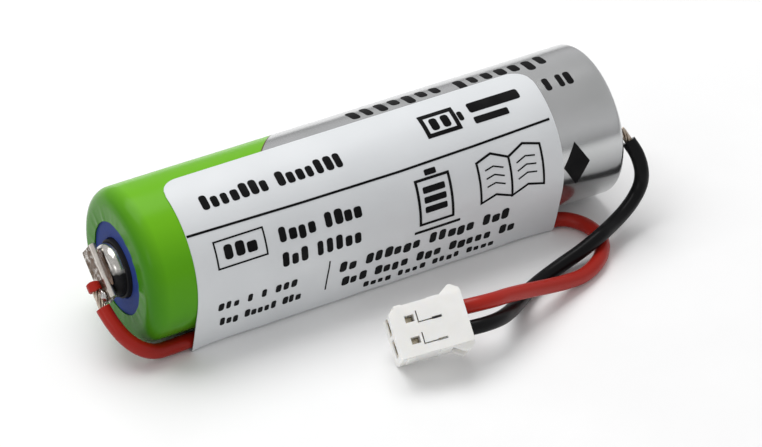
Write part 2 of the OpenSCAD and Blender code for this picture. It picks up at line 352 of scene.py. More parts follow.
def flux_nickel():
    """Nickel tab: bright where bare, brown where soldering flux has dried."""
    m, t, b = mat("flux_nickel")
    cloud = noise_of(t, 1100.0, 4.0, 0.65)
    fine = noise_of(t, 6000.0, 3.0, 0.6)
    stain = ramp(t, cloud, [(0.36, OFF), (0.50, ON)])
    bare = two_tone(t, fine, (0.52, 0.50, 0.47), (0.70, 0.68, 0.65))
    brown = two_tone(t, fine, (0.06, 0.035, 0.020), (0.17, 0.105, 0.065))
    feed(b, "Base Color", mix(t, stain, bare, brown))
    feed(b, "Metallic", spread(t, stain, 1.0, 0.35))
    feed(b, "Roughness", spread(t, stain, 0.2, 0.4))
    bump(t, b, [(cloud, 1.0), (fine, 0.3)], 1.2e-5)
    return m


def nickel_with_painted_shade():
    """Button nickel, with painted shade and a painted dark reflection on its lower side."""
    m, t, b = mat("nickel_with_painted_shade")
    axes = t.nodes.new("ShaderNodeSeparateXYZ")
    t.links.new(coords(t), axes.inputs[0])
    cloud = noise_of(t, 900.0, 3.0, 0.6)
    fine = noise_of(t, 5000.0, 3.0, 0.6)
    uneven_height = t.nodes.new("ShaderNodeMath")
    uneven_height.operation = "MULTIPLY_ADD"
    uneven_height.inputs[1].default_value = 1.2 * MM
    t.links.new(cloud, uneven_height.inputs[0])
    t.links.new(axes.outputs["Z"], uneven_height.inputs[2])
    # Painted shade: below a noisy height the nickel turns near black, less metallic and rougher.
    lit_share = spread(t, uneven_height.outputs[0], 0.0, 1.0, 8.8 * MM, 9.4 * MM)
    bare = two_tone(t, fine, (0.60, 0.58, 0.54), (0.72, 0.70, 0.67))
    # Near-black colour of the painted shade and dark reflection.
    painted_shade_black = two_tone(t, fine, (0.004, 0.004, 0.005), (0.014, 0.013, 0.014))
    feed(b, "Base Color", mix(t, lit_share, painted_shade_black, bare))
    feed(b, "Metallic", spread(t, lit_share, 0.2, 1.0))
    feed(b, "Roughness", spread(t, lit_share, 0.5, 0.2))
    b.inputs["Specular IOR Level"].default_value = 0.15
    bump(t, b, [(cloud, 0.6), (fine, 0.3)], 6e-6)
    return m


SLEEVE_FILM = sleeve_film()
NICKEL_WITH_PAINTED_SHADE = nickel_with_painted_shade()
LABEL_FILM = label_film()
NYLON = nylon()
FLUX_NICKEL = flux_nickel()
INK = plastic(
    "black_ink", (0.004, 0.004, 0.0045), (0.010, 0.010, 0.0105), (0.4, 0.5), 1500.0, 2e-6, shine=0.05)
RED_PVC = plastic(
    "red_pvc", (0.30, 0.010, 0.005), (0.38, 0.016, 0.008), (0.30, 0.42),
    500.0, 1.2e-5, 0.08, (0.4, 1, 1), 0.2)
BLACK_PVC = plastic(
    "black_pvc", (0.003, 0.003, 0.0035), (0.007, 0.007, 0.0075), (0.26, 0.36),
    500.0, 1.0e-5, 0.04, (0.4, 1, 1), 0.1)
BLACK_FIBRE = plastic(
    "black_insulator", (0.008, 0.008, 0.009), (0.020, 0.020, 0.022), (0.5, 0.7),
    1500.0, 1.5e-5, shine=0.1)
RESIN = plastic(
    "flux_resin", (0.045, 0.022, 0.012), (0.16, 0.085, 0.045), (0.15, 0.35),
    1800.0, 3e-5, 0.4, shine=0.5)
GLASS = plastic(
    "seal_glass", (0.030, 0.045, 0.030), (0.060, 0.080, 0.055), (0.05, 0.12), 900.0, 5e-6, 0.5)
NICKEL = metal("nickel", (0.62, 0.60, 0.56), (0.74, 0.72, 0.69), (0.12, 0.28))
STEEL = metal("steel", (0.48, 0.48, 0.49), (0.60, 0.60, 0.61), (0.18, 0.34), (0.3, 1, 1))
SOLDER = metal(
    "solder", (0.55, 0.54, 0.53), (0.72, 0.71, 0.69), (0.16, 0.42), (1, 1, 1), 3e-5, 1500.0)
COPPER = metal(
    "tinned_copper", (0.42, 0.33, 0.25), (0.66, 0.58, 0.50), (0.22, 0.4), (1, 1, 1), 5e-6, 1500.0)
BRASS = metal("contact_metal", (0.50, 0.43, 0.30), (0.66, 0.59, 0.45), (0.2, 0.36))
HEM_NICKEL = metal(
    "hem_nickel", (0.60, 0.55, 0.50), (0.72, 0.68, 0.63), (0.3, 0.45), (1, 0.3, 0.3), 5e-6)
LITHIUM = metal("lithium", (0.36, 0.36, 0.38), (0.52, 0.52, 0.54), (0.4, 0.6))
BLUE_FIBRE = powder("blue_fibre", (0.014, 0.034, 0.17), (0.026, 0.055, 0.25), (0.5, 0.7), 3000.0, 8e-6)
SEPARATOR = powder("separator", (0.66, 0.64, 0.58), (0.80, 0.79, 0.75), (0.7, 0.9), 4000.0, 2e-5)
CARBON = powder("carbon", (0.008, 0.008, 0.009), (0.028, 0.028, 0.030), (0.6, 0.9), 2600.0, 3e-5)

# ---- mesh helpers: points in millimetres ----


def placed(name, data):
    obj = bpy.data.objects.new(name, data)
    bpy.context.scene.collection.objects.link(obj)
    return obj


def solid_mesh(name, verts, faces, smooth=False):
    """Mesh of points in metres, with its faces turned outwards."""
    data = bpy.data.meshes.new(name)
    data.from_pydata(verts, [], faces)
    bm = bmesh.new()
    bm.from_mesh(data)
    bmesh.ops.recalc_face_normals(bm, faces=bm.faces)
    for f in bm.faces:
        f.smooth = smooth
    bm.to_mesh(data)
    bm.free()
    return data


def piece(name, verts, faces, material, slot):
    data = solid_mesh(name, [Vector(v) * MM for v in verts], faces, True)
    data.materials.append(material)
    obj = placed(name, data)
    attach(obj, "root")
    return obj


def crease(obj, degrees=35):
    """Keeps edges sharper than this angle crisp."""
    bm = bmesh.new()
    bm.from_mesh(obj.data)
    for e in bm.edges:
        if len(e.link_faces) == 2 and e.calc_face_angle() > math.radians(degrees):
            e.smooth = False
    bm.to_mesh(obj.data)
    bm.free()
    return obj


def lattice(rows, columns, start=0, close_rows=False, close_columns=False):
    """Quads between rows x columns points stored row by row."""
    faces = []
    for i in range(rows if close_rows else rows - 1):
        for j in range(columns if close_columns else columns - 1):
            a, b = i * columns, ((i + 1) % rows) * columns
            k = (j + 1) % columns
            faces.append((start + a + j, start + a + k, start + b + k, start + b + j))
    return faces


def shell(upper, lower, rows, columns):
    """Closed slab: two lattices of the same size joined along their border."""
    n = rows * columns
    faces = lattice(rows, columns) + [f[::-1] for f in lattice(rows, columns, n)]
    border = list(range(columns))
    border += [i * columns + columns - 1 for i in range(1, rows)]
    border += [(rows - 1) * columns + j for j in range(columns - 2, -1, -1)]
    border += [i * columns for i in range(rows - 2, 0, -1)]
    for a, b in zip(border, border[1:] + border[:1]):
        faces.append((b, a, n + a, n + b))
    return upper + lower, faces


def turned(name, profile, place, material, slot, segments=160, wobble=None):
    """Revolves a closed (axial, radial) profile about place's X axis; wobble shifts a point."""
    verts = []
    for i in range(segments):
        a = 2 * math.pi * i / segments
        for x, r in profile:
            dx, dr = wobble(x, r, a) if wobble else (0, 0)
            rr = max(r + dr, 0.0005)
            verts.append(place @ Vector((x + dx, rr * math.cos(a), rr * math.sin(a))))
    faces = lattice(segments, len(profile), 0, True, True)
    return crease(piece(name, verts, faces, material, slot))


def noise_at(x, y, z):
    return noise.noise(Vector((x, y, z)))


def fillet(cx, cy, r, a0, a1, steps):
    """Points of an arc in the (axial, radial) plane, in degrees."""
    out = []
    for i in range(steps + 1):
        a = math.radians(a0 + (a1 - a0) * i / steps)
        out.append((cx + r * math.cos(a), cy + r * math.sin(a)))
    return out


def ruled(points, pitch):
    """Adds points so that none are further apart than pitch."""
    out = []
    for a, b in zip(points, points[1:] + points[:1]):
        n = max(1, math.ceil(math.dist(a, b) / pitch))
        out += [tuple(p + (q - p) * i / n for p, q in zip(a, b)) for i in range(n)]
    return out


# Places that pieces are built in: the cell's axis, the folded tab on the button (X along its
# fold, Y across it, Z away from the button) and the plug (X from its mating end to its leads).
CELL = Matrix.Translation((0, 0, AXIS_Z))
TAB_ANGLE = math.radians(218)
TAB_X = Vector((0, math.cos(TAB_ANGLE), math.sin(TAB_ANGLE)))
TAB_Y = Vector((0, math.sin(TAB_ANGLE), -math.cos(TAB_ANGLE)))
TAB_Z = Vector((-1, 0, 0))
BUTTON = Matrix((TAB_X, TAB_Y, TAB_Z)).transposed().to_4x4()
BUTTON.translation = Vector((X_BUTTON, 0, AXIS_Z))
PLUG_AT = (1.5, -18.05, 4.1)
PLUG_TURNS = (("Z", -13.5), ("Y", -7.5), ("X", 43.5))
PLUG = Matrix.Translation(PLUG_AT)
for axis, degrees in PLUG_TURNS:
    PLUG = PLUG @ Matrix.Rotation(math.radians(degrees), 4, axis)

# ---- sleeve ----


def sleeve_profile():
    """Closed (axial, radial) section of the film, rounded over both ends."""
    outer = [(X_LIP + 0.02, HOLE_R)]
    outer += fillet(X_LIP + SHOULDER_R, CELL_R - SHOULDER_R, SHOULDER_R, 180, 90, 14)
    outer += fillet(X_NEG - HEEL_R, CELL_R - HEEL_R, HEEL_R, 90, 0, 8)
    outer += [(X_NEG - 0.02, REAR_HOLE_R)]
    inner = [(X_NEG - SLEEVE_T, REAR_HOLE_R)]
    inner += fillet(X_NEG - HEEL_R, CELL_R - HEEL_R, HEEL_R - SLEEVE_T, 0, 90, 6)
    inner += fillet(X_LIP + SHOULDER_R, CELL_R - SHOULDER_R, SHOULDER_R - SLEEVE_T, 90, 180, 10)
    inner += [(X_LIP + SLEEVE_T, HOLE_R)]
    return ruled(outer + inner, 0.4)


# How far the gathered folds reach along the cell, and out from an opening
GATHER_L = 2.2
GATHER_W = 1.6


def sleeve_wobble(x, r, a):
    """Shrunk film is slightly uneven, with gathered folds near both openings."""
    p = Vector((x * 0.12, math.cos(a) * 1.6, math.sin(a) * 1.6))
    barrel = 0.03 * noise.noise(p)
    front = max(0.0, 1 - (x - X_LIP) / GATHER_L)
    rear = max(0.0, 1 - (X_NEG - x) / GATHER_L)
    fold = 0.035 * math.sin(17 * a + 3 * math.sin(2 * a)) + 0.02 * math.sin(31 * a + 1)
    near_hole = max(0.0, 1 - (r - HOLE_R) / GATHER_W) if max(front, rear) > 0 else 0.0
    dr = barrel * (1 - max(front, rear))
    dr += near_hole * 0.08 * noise_at(math.cos(a) * 2.3, math.sin(a) * 2.3, x)
    dx = (-front if front > 0 else rear) * near_hole * max(fold, -0.02) * 0.6
    return dx, dr


sleeve = turned("printed_sleeve", sleeve_profile(), CELL, SLEEVE_FILM, "sleeve_film", 300, sleeve_wobble)
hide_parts("shrink_sleeve")

# ---- label ----
# Its outer line in section: round the cell, straight down to the lead, round the lead, straight
# along the floor and on round the cell. S1 to S5 are the lengths along it where these stretches end.
LABEL_R = CELL_R + FILM_T
LABEL_SKIN = 0.085
UPPER_TURN = math.radians(270) - 2 * CHANNEL_TILT
FLOOR_TURN = math.radians(270)
LEAD_ARC_R = CHANNEL_R + FILM_T
SPAN = math.dist((CHANNEL_Y, CHANNEL_Z), (0, AXIS_Z))
RUN = math.sqrt(SPAN ** 2 - (LABEL_R - LEAD_ARC_R) ** 2)
S1 = LABEL_R * (UPPER_TURN - LABEL_TOP)
S2 = S1 + RUN
S3 = S2 + LEAD_ARC_R * (FLOOR_TURN - UPPER_TURN)
S4 = S3 + RUN
S5 = S4 + LABEL_R * (LABEL_LAST - FLOOR_TURN)


def wrap(s):
    """Point and outward direction of the label's outer line, s from its upper edge."""
    if s <= S1 or s >= S4:
        a = LABEL_TOP + s / LABEL_R if s <= S1 else FLOOR_TURN + (s - S4) / LABEL_R
        out = Vector((math.cos(a), math.sin(a)))
        return Vector((0, AXIS_Z)) + out * LABEL_R, out
    if S2 <= s <= S3:
        a = UPPER_TURN + (s - S2) / LEAD_ARC_R
        out = Vector((math.cos(a), math.sin(a)))
        return Vector((CHANNEL_Y, CHANNEL_Z)) + out * LEAD_ARC_R, out
    a, start, first = (UPPER_TURN, S1, LABEL_R) if s < S2 else (FLOOR_TURN, S3, LEAD_ARC_R)
    out = Vector((math.cos(a), math.sin(a)))
    centre = Vector((0, AXIS_Z)) if s < S2 else Vector((CHANNEL_Y, CHANNEL_Z))
    return centre + out * first + Vector((-out.y, out.x)) * (s - start), out


def on_label(x, s, h):
    """Point on the label: x along the cell, s down from the upper edge, h above it."""
    p, out = wrap(s)
    loose = 0.0
    if S1 - 1 < s < S4:
        loose = max(0.0, math.sin(math.pi * (s - S1 + 1.0) / (S4 - S1 + 1.0)))
    ends = math.exp(-(x - LABEL_X0) / 1.4) + 0.7 * math.exp(-(LABEL_X1 - x) / 1.4)
    wave = 0.025 * noise_at(x * 0.22, s * 0.35, 2.0)
    sag = 0.05 * noise_at(x * 0.3, s * 0.3, 7.0)
    lift = h + wave * min(1.0, s) + loose * (0.22 * ends + sag)
    z = p.y + out.y * lift
    return Vector((x, p.x + out.x * lift, max(z, 0.012 + h * 0.1)))


def label_slab():
    """Columns crowd towards the two ends, where the film lifts and has round corners."""
    columns, rows, corner = 96, 170, 2.0
    xs = []
    for j in range(columns):
        u = j / (columns - 1)
        xs.append(LABEL_X0 + (LABEL_X1 - LABEL_X0) * (u - 0.09 * math.sin(2 * math.pi * u)))
    upper, lower = [], []
    for i in range(rows):
        v = i / (rows - 1)
        for x in xs:
            d = min(x - LABEL_X0, LABEL_X1 - x, corner)
            cut = corner - math.sqrt(max(corner ** 2 - (corner - d) ** 2, 0))
            s = cut + v * (S5 - 2 * cut)
            upper.append(on_label(x, s, 0.0))
            lower.append(on_label(x, s, -LABEL_SKIN))
    return shell(upper, lower, rows, columns)


label = crease(piece("pack_label_film", *label_slab(), LABEL_FILM, "label_film"), 50)
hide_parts("pack_label")

# ---- print: thin raised ink, made of strokes in a surface's own coordinates ----
INK_LOW, INK_HIGH = 0.006, 0.026
WORD_GAP = 0.75


def on_sleeve(x, s, h):
    """Same coordinates as the label's, carried on above its upper edge (s < 0)."""
    a = LABEL_TOP + s / LABEL_R
    r = CELL_R + h
    dx, dr = sleeve_wobble(x, r, a)
    return Vector((x + dx, (r + dr) * math.cos(a), AXIS_Z + (r + dr) * math.sin(a)))


def stroke(surface, line, width, taper=None, closed=False):
    """Closed strip of ink along a line of (x, s) points; taper(t) scales its width."""
    pts = [Vector(p) for p in line]
    if closed:
        pts.append(pts[0])
    dense = []
    for a, b in zip(pts, pts[1:]):
        n = max(1, math.ceil((b - a).length / 0.35))
        dense += [a.lerp(b, i / n) for i in range(n)]
    if not closed:
        dense.append(pts[-1])
    n = len(dense)
    across = max(2, math.ceil(width / 0.5) + 1)
    upper, lower = [], []
    for i, p in enumerate(dense):
        before = dense[i - 1] if i or closed else p
        after = dense[(i + 1) % n] if i < n - 1 or closed else p
        d1 = (p - before).normalized() if (p - before).length > 1e-6 else (after - p).normalized()
        d2 = (after - p).normalized() if (after - p).length > 1e-6 else d1
        n1, n2 = Vector((-d1.y, d1.x)), Vector((-d2.y, d2.x))
        m = (n1 + n2).normalized()
        m = m / max(m.dot(n1), 0.5)
        t = i / max(n - 1, 1)
        half = width / 2 * (taper(t) if taper else 1.0)
        for j in range(across):
            q = p + m * half * (2 * j / (across - 1) - 1)
            upper.append(surface(q.x, q.y, INK_HIGH))
            lower.append(surface(q.x, q.y, INK_LOW))
    if not closed:
        return shell(upper, lower, n, across)
    faces = lattice(n, across, 0, True) + [f[::-1] for f in lattice(n, across, n * across, True)]
    for i in range(n):
        k = (i + 1) % n
        for j in (0, across - 1):
            faces.append((i * across + j, k * across + j, (n + k) * across + j, (n + i) * across + j))
    return upper + lower, faces


def pill(surface, x0, x1, s, height):
    """Bar with softly rounded ends."""
    r = min(height * 0.22, (x1 - x0) * 0.4)
    steps = [r * (1 - math.cos(math.radians(a))) for a in (0, 25, 50, 75, 90)]
    stops = [x0 + d for d in steps] + [x1 - d for d in reversed(steps)]
    core = height / 2 - r
    halves = []
    for x in stops:
        d = min(x - x0, x1 - x, r)
        halves.append(core + math.sqrt(max(r * r - (r - d) ** 2, 0)))
    upper, lower = [], []
    across = max(3, math.ceil(height / 0.4) + 1)
    for x, half in zip(stops, halves):
        half = max(half, core * 0.9, 0.02)
        for j in range(across):
            q = s + half * (2 * j / (across - 1) - 1)
            upper.append(surface(x, q, INK_HIGH))
            lower.append(surface(x, q, INK_LOW))
    return shell(upper, lower, len(stops), across)


def greek(surface, x0, x1, top, bottom, words, weight, flip=False):
    """Row of blocks standing for a line of print; words holds each word's block count."""
    parts = []
    total = sum(words) + WORD_GAP * (len(words) - 1)
    pitch = (x1 - x0) / total
    x = x0
    body = bottom - top
    for w in words:
        for k in range(w):
            tall = random.random() < 0.3 or k == 0
            low = random.random() < 0.12 and not tall
            t0 = top if tall else top + body * 0.26
            t1 = bottom + body * 0.16 if low else bottom
            if flip:
                t0, t1 = top + bottom - t1, top + bottom - t0
            wide = pitch * random.uniform(weight, weight + 0.18)
            parts.append(pill(surface, x, x + wide, (t0 + t1) / 2, t1 - t0))
            x += pitch
        x += WORD_GAP * pitch
    return parts


def merge(parts):
    verts, faces = [], []
    for v, f in parts:
        base = len(verts)
        verts += v
        faces += [tuple(base + i for i in face) for face in f]
    return verts, faces


def rect(x0, s0, x1, s1):
    return [(x0, s0), (x1, s0), (x1, s1), (x0, s1)]


def ink(name, parts, slot="label_film"):
    return crease(piece(name, *merge(parts), INK, slot), 60)


def on_sleeve_row(x, s, h):
    """The sleeve's print row runs slightly askew to the cell."""
    return on_sleeve(x, s - 0.4 + 0.055 * (x - 21.5), h)


def rows_of(*rows):
    """Several rows of blocks on the label, each (x0, x1, top, bottom, words, weight)."""
    parts = []
    for row in rows:
        parts += greek(on_label, *row)
    return parts


def label_line(line, width, closed=False):
    return stroke(on_label, line, width, closed=closed)


def label_bar(x0, x1, s, height):
    return pill(on_label, x0, x1, s, height)


def bold_mark():
    """A battery lying down, with two bars beside it."""
    case = label_line(rect(6.2, 2.2, 9.4, 4.3), 0.42, True)
    knob = label_bar(9.7, 10.2, 3.25, 1.0)
    charge = [label_bar(x, x + 0.8, 3.25, 1.3) for x in (6.8, 8.0)]
    bars = [label_bar(11.0, 16.4, 2.75, 1.1), label_bar(11.0, 14.6, 4.15, 0.7)]
    return [case, knob] + charge + bars


def cell_symbol():
    """A battery standing up, over a line."""
    case = label_line(rect(3.2, 7.9, 6.6, 12.2), 0.26, True)
    knob = label_bar(4.3, 5.5, 7.35, 0.55)
    charge = [label_bar(3.75, 6.05, s, 0.62) for s in (8.9, 9.85, 10.8)]
    return [case, knob] + charge + [label_bar(2.6, 7.4, 13.0, 0.3)]


def booklet():
    """An open booklet with wavy lines on both pages."""
    left = [(9.6, 8.0), (11.2, 7.5), (12.9, 8.3), (12.9, 12.2), (11.2, 11.5), (9.6, 12.0)]
    right = [(12.9, 8.3), (14.6, 7.5), (16.3, 8.0), (16.3, 12.0), (14.6, 11.5), (12.9, 12.2)]
    parts = [label_line(page, 0.22, True) for page in (left, right)]
    lines = (8.9, 9.7, 10.5)
    parts += [label_line([(10.3, s), (11.2, s - 0.2), (12.2, s + 0.2)], 0.14) for s in lines]
    parts += [label_line([(13.6, s + 0.2), (14.6, s - 0.2), (15.6, s)], 0.14) for s in lines]
    return parts


def print_label():
    rule = [(LABEL_X0 + 0.05, 6.3), (-8, 6.5), (2, 6.55), (10, 6.4), (LABEL_X1 - 0.4, 6.15)]
    tag = label_line(rect(-17.3, 7.5, -12.4, 10.0), 0.16, True)
    ink("ink_heading", rows_of((-17.0, -2.5, 3.0, 4.5, [7, 7], 0.66)))
    ink("ink_rule", [label_line(rule, 0.22)])
    ink("ink_tag", [tag] + rows_of((-16.5, -13.1, 8.0, 9.35, [3], 0.72)))
    ink("ink_number_rows", rows_of(
        (-11.0, -2.4, 8.0, 9.4, [4, 4], 0.66),
        (-11.0, -2.7, 10.4, 11.85, [3, 5], 0.6)))
    ink("ink_rating_rows", rows_of(
        (-17.4, -9.2, 13.8, 14.8, [3, 1, 1, 3], 0.56),
        (-17.0, -8.6, 15.95, 16.95, [3, 5, 3], 0.66)))
    ink("ink_divider", [label_line([(-6.2, 12.9), (-6.2, 16.8)], 0.14)])
    ink("ink_note_rows", rows_of(
        (-5.0, 13.0, 13.6, 15.0, [2, 6, 5, 3], 0.66),
        (-4.5, 14.0, 15.9, 17.1, [3, 4, 3, 5, 2], 0.66),
        (-2.0, 12.0, 17.7, 18.4, [4, 4, 4, 4], 0.6)))
    ink("ink_bold_mark", bold_mark())
    ink("ink_cell_symbol", cell_symbol())
    ink("ink_booklet", booklet())


def print_sleeve():
    def lozenge(t):
        return max(0.02, 1 - abs(2 * t - 1))

    row = greek(on_sleeve_row, 0.9, 21.9, -1.05, 0.9, [7, 7], 0.5, True)
    short_row = greek(on_sleeve, 19.2, 22.3, 2.0, 3.5, [1, 2], 0.66, True)
    mark = stroke(on_sleeve, [(18.55, 11.2), (21.3, 11.2)], 4.6, lozenge)
    back_line = stroke(on_sleeve, [(LABEL_X0 + 6, -10.5), (LABEL_X1, -10.5)], 0.3)
    for name, parts in (("row", row + short_row), ("lozenge", [mark]), ("back", [back_line])):
        ink("ink_sleeve_" + name, parts, "sleeve_film")


print_label()
print_sleeve()

# ---- positive end ----
BLUE_LO, BLUE_HI = box_mm("top_washer")
RING_LO, RING_HI = box_mm("insulator_ring")
WASHER_IN_R, WASHER_R = 2.78, 5.68
COLLAR_IN_R, COLLAR_R = 2.54, 2.76
RING_R, SEAT_IN_R, WEB_IN_R = 6.3, 1.8, 3.4
WEB_X = BLUE_HI.x + 0.17
SEAT = CAP_HI.x
CAP_R, BRIM_R, CAP_T, DOME_F = 2.5, 3.2, 0.25, 0.8


def washer_profile():
    front, back = BLUE_LO.x, BLUE_HI.x
    return [
        (front + 0.03, WASHER_IN_R + 0.08), (front, WASHER_IN_R + 0.12),
        (front, WASHER_R - 0.08), (front + 0.05, WASHER_R), (back, WASHER_R),
        (back, WASHER_IN_R + 0.04), (back - 0.05, WASHER_IN_R), (front + 0.08, WASHER_IN_R + 0.03),
    ]


def washer_wobble(x, r, a):
    edge = 0.03 * noise_at(math.cos(a) * 4, math.sin(a) * 4, r)
    return 0.02 * math.sin(2 * a + 0.5) + 0.01 * math.sin(5 * a), edge if r < 3.1 else 0.0


def collar_profile():
    """Insulator: a collar round the button, a web behind the washer and a seat for the brim."""
    lip, back = RING_LO.x, RING_HI.x
    return [
        (lip + 0.04, COLLAR_IN_R), (lip, COLLAR_IN_R + 0.05),
        (lip + 0.01, COLLAR_R - 0.07), (lip + 0.07, COLLAR_R), (BLUE_HI.x, COLLAR_R),
        (BLUE_HI.x, RING_R - 0.1), (BLUE_HI.x + 0.06, RING_R), (back, RING_R),
        (back, SEAT_IN_R), (SEAT, SEAT_IN_R), (SEAT, WEB_IN_R), (WEB_X, WEB_IN_R), (WEB_X, COLLAR_IN_R),
    ]


washer = turned(
    "blue_washer", ruled(washer_profile(), 0.3), CELL, BLUE_FIBRE, "blue_insulator", 160, washer_wobble)
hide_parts("top_washer")
collar = turned(
    "insulator_collar", ruled(collar_profile(), 0.4), CELL, BLACK_FIBRE, "black_insulator", 128)
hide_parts("insulator_ring")


def cap_profile():
    """Pressed button: a flat top with a rounded edge, a straight wall and a brim."""
    centre_r = 0.001
    foot = SEAT - CAP_T
    bore = CAP_R - CAP_T
    outer = fillet(X_BUTTON + DOME_F, CAP_R - DOME_F, DOME_F, 180, 90, 10)
    outer += [
        (foot - 0.15, CAP_R + 0.02), (foot - 0.03, CAP_R + 0.15),
        (foot, BRIM_R - 0.08), (foot + 0.06, BRIM_R), (SEAT - 0.04, BRIM_R),
    ]
    inner = [
        (SEAT, BRIM_R - 0.05), (SEAT, bore), (X_BUTTON + DOME_F, bore), (X_BUTTON + 0.4, CAP_R - 0.42),
        (X_BUTTON + CAP_T, CAP_R - DOME_F), (X_BUTTON + CAP_T, centre_r),
    ]
    return [(X_BUTTON, centre_r), (X_BUTTON, 1.0)] + outer + inner


cap = turned("button_cap", cap_profile(), CELL, NICKEL_WITH_PAINTED_SHADE, "nickel", 128)
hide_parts("positive_cap")

# The tab: a strip folded lengthwise, with its fold (hem) on the upper side
TAB_T, HEM_R, HEM_AT = 0.15, 0.3, 0.85
TAB_HALF, TAB_W = 2.6, 2.4
TAB_BACK = HEM_AT - TAB_W + HEM_R
TAB_SPRING = 0.10
WELDS = [(x, y) for y in (-0.75, 0.35) for x in (-2.1, -1.3, -0.5)]
WELD_DEPTH = 0.07


def weld_dent(u, w, spots, spread_by):
    """Depth of the spot welds' dents at a point of a tab."""
    near = [(u - du) ** 2 + (w - dw) ** 2 for du, dw in spots]
    return sum(WELD_DEPTH * math.exp(-square / spread_by) for square in near)


def tab_line(v):
    """Folded section: (across, height) and its outward direction, v from 0 to 1."""
    flat = HEM_AT - TAB_BACK
    bend = math.pi * (HEM_R - TAB_T / 2)
    d = v * (2 * flat + bend)
    if d < flat:
        return Vector((TAB_BACK + d, TAB_T / 2)), Vector((0, -1))
    if d > flat + bend:
        back = d - flat - bend
        rise = TAB_SPRING * (back / flat) ** 2
        return Vector((HEM_AT - back, 2 * HEM_R - TAB_T / 2 + rise)), Vector((0, 1))
    a = -math.pi / 2 + (d - flat) / (HEM_R - TAB_T / 2)
    out = Vector((math.cos(a), math.sin(a)))
    return Vector((HEM_AT, HEM_R)) + out * (HEM_R - TAB_T / 2), out


def tab_slab():
    """The folded strip, dented by its welds and trimmed askew at both ends."""
    rows, columns = 61, 90
    upper, lower = [], []
    for i in range(rows):
        u = 2 * i / (rows - 1) - 1
        x = TAB_HALF * u
        for j in range(columns):
            v = j / (columns - 1)
            p, out = tab_line(v)
            q = 0.012 * noise_at(x * 0.5, p.x * 0.6, v * 2)
            dent = weld_dent(x, p.x, WELDS, 0.035) if v > 0.55 else 0.0
            trim = 0.12 * max(0, abs(u) - 0.9) / 0.1
            reach = p.x + (trim if v > 0.9 or v < 0.1 else 0)
            for side, store in ((1, upper), (-1, lower)):
                h = p.y + out.y * side * TAB_T / 2 + q - dent
                w = reach + out.x * side * TAB_T / 2
                store.append(BUTTON @ Vector((x, w, max(h, 0.004))))
    return shell(upper, lower, rows, columns)


def polish_hem(tab):
    """Gives the faces of the fold, which no flux has reached, the cleaner nickel."""
    tab.data.materials.append(HEM_NICKEL)
    bend_line = (BUTTON @ Vector((0, HEM_AT - 0.1, 0))).dot(TAB_Y)
    for face in tab.data.polygons:
        if face.center.dot(TAB_Y) / MM > bend_line:
            face.material_index = 1


tab = crease(piece("positive_tab_strip", *tab_slab(), FLUX_NICKEL, "nickel"), 50)
polish_hem(tab)
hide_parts("positive_tab")


def blob(name, place, size, material, slot, seed, keep=0.3):
    """Frozen puddle: a lumpy cap with a flat foot, which lies keep times its height down."""
    bm = bmesh.new()
    bmesh.ops.create_icosphere(bm, subdivisions=4, radius=1)
    for v in bm.verts:
        p = v.co.copy()
        lumps = noise.noise(p * 1.6 + Vector((seed, 0, 0)))
        ripples = noise.noise(p * 4.5 + Vector((0, seed, 0)))
        grow = 1 + 0.16 * lumps + 0.05 * ripples
        q = Vector((p.x * size[0] * grow, p.y * size[1] * grow, p.z * size[2] * grow))
        if q.z < -size[2] * keep:
            q.z = -size[2] * keep
        v.co = q
    verts = [place @ v.co for v in bm.verts]
    faces = [[v.index for v in f.verts] for f in bm.faces]
    bm.free()
    return piece(name, verts, faces, material, slot)


# The stripped wire lies along the tab, this far across it and above the button
WIRE_P, WIRE_H = -0.3, 1.25
SOLDER_AT = BUTTON @ Matrix.Translation((2.0, WIRE_P, 0.8))
RESIDUE_AT = BUTTON @ Matrix.Translation((-0.1, 1.32, 0.10))
solder = blob("positive_solder_fillet", SOLDER_AT, (0.6, 0.66, 0.44), SOLDER, "solder", 3.0)
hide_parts("positive_solder")
blob("flux_residue", RESIDUE_AT, (1.75, 0.42, 0.24), RESIN, "solder", 11.0)


def bundle(name, line):
    """Strands twisted round a middle one, along a line of points."""
    pts = [Vector(p) for p in line]
    dense = []
    for a, b in zip(pts, pts[1:]):
        n = max(2, math.ceil((b - a).length / 0.08))
        dense += [a.lerp(b, i / n) for i in range(n)]
    dense.append(pts[-1])
    verts, faces = [], []
    sides = 8
    run = [0.0]
    for a, b in zip(dense, dense[1:]):
        run.append(run[-1] + (b - a).length)
    for k in range(STRANDS):
        base = len(verts)
        ring = BUNDLE_D / 2 - STRAND_R if k else 0.0
        centres = []
        for i, p in enumerate(dense):
            t = (dense[min(i + 1, len(dense) - 1)] - dense[max(i - 1, 0)]).normalized()
            u = t.cross(Vector((0.3, 0.2, 1))).normalized()
            w = t.cross(u)
            a = 2 * math.pi * ((k - 1) / (STRANDS - 1) + run[i] / LAY_LENGTH)
            jig = 0.012 * noise.noise(p * 2 + Vector((k * 3.1, 0, 0)))
            centres.append((p + (u * math.cos(a) + w * math.sin(a)) * (ring + jig), u, w))
        for c, u, w in centres:
            for s in range(sides):
                b = 2 * math.pi * s / sides
                verts.append(c + (u * math.cos(b) + w * math.sin(b)) * STRAND_R)
        n = len(centres)
        faces += lattice(n, sides, base, False, True)
        faces.append([base + s for s in range(sides)])
        faces.append([base + (n - 1) * sides + s for s in reversed(range(sides))])
    return piece(name, verts, faces, COPPER, "tinned_copper")


def red_wire_line():
    """From inside the slug to the red lead, sinking a little into the solder."""
    return [BUTTON @ Vector((x, WIRE_P, WIRE_H - dip)) for x, dip in ((1.2, 0), (2.1, 0.03), (3.1, 0))]


red_strands = bundle("red_strand_bundle", red_wire_line())
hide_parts("red_strands")


SLUG_START, SLUG_END, SLUG_R = 0.53, 1.35, 0.65


